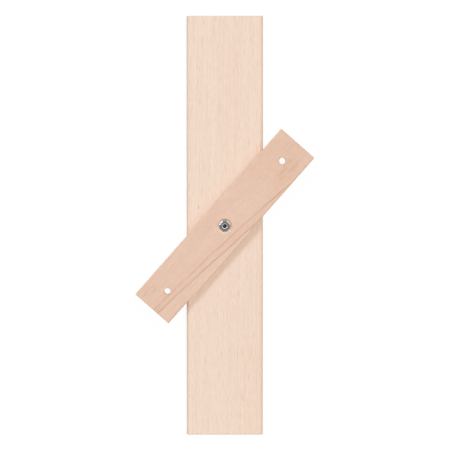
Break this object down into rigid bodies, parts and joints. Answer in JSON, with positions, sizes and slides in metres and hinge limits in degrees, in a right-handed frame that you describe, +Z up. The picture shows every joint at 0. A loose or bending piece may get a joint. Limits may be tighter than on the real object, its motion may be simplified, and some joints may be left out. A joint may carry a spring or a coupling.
{
  "type": "transfer board",
  "caption": "Long wooden transfer board with a shorter wooden crossbar that swivels about a flush screw and a sunk pronged nut at its middle, and has a fixing hole near each end.",
  "frame": {"origin": "on the pivot axis, in the plane of the long board's sliding face, which is the face it lies on", "axes": "+Z up along the pivot, from the sliding face to the crossbar; +Y along the long board; +X across it"},
  "size_m": [0.322, 0.76, 0.0405],
  "materials": {
    "beech": "pale beech, sanded and clear satin lacquered",
    "beech_bar": "warmer flat-sawn beech, sanded and clear satin lacquered",
    "zinc_nut": "pressed sheet steel, dull grey zinc plate",
    "black_screw": "machined steel, black oxide, lightly oiled",
    "fibre": "red-brown vulcanised fibre, matt"
  },
  "bodies": {
    "board": {"long_board": "beech", "spacer_washer": "fibre"},
    "swivel": {"crossbar": "beech_bar", "tee_nut": "zinc_nut", "pivot_screw": "black_screw"}
  },
  "joints": [
    {"name": "crossbar_swivel", "type": "hinge", "parent": "board", "child": "swivel", "pos_m": [0, 0, 0.02025], "axis": [0, 0, 1], "continuous": true}
  ]
}
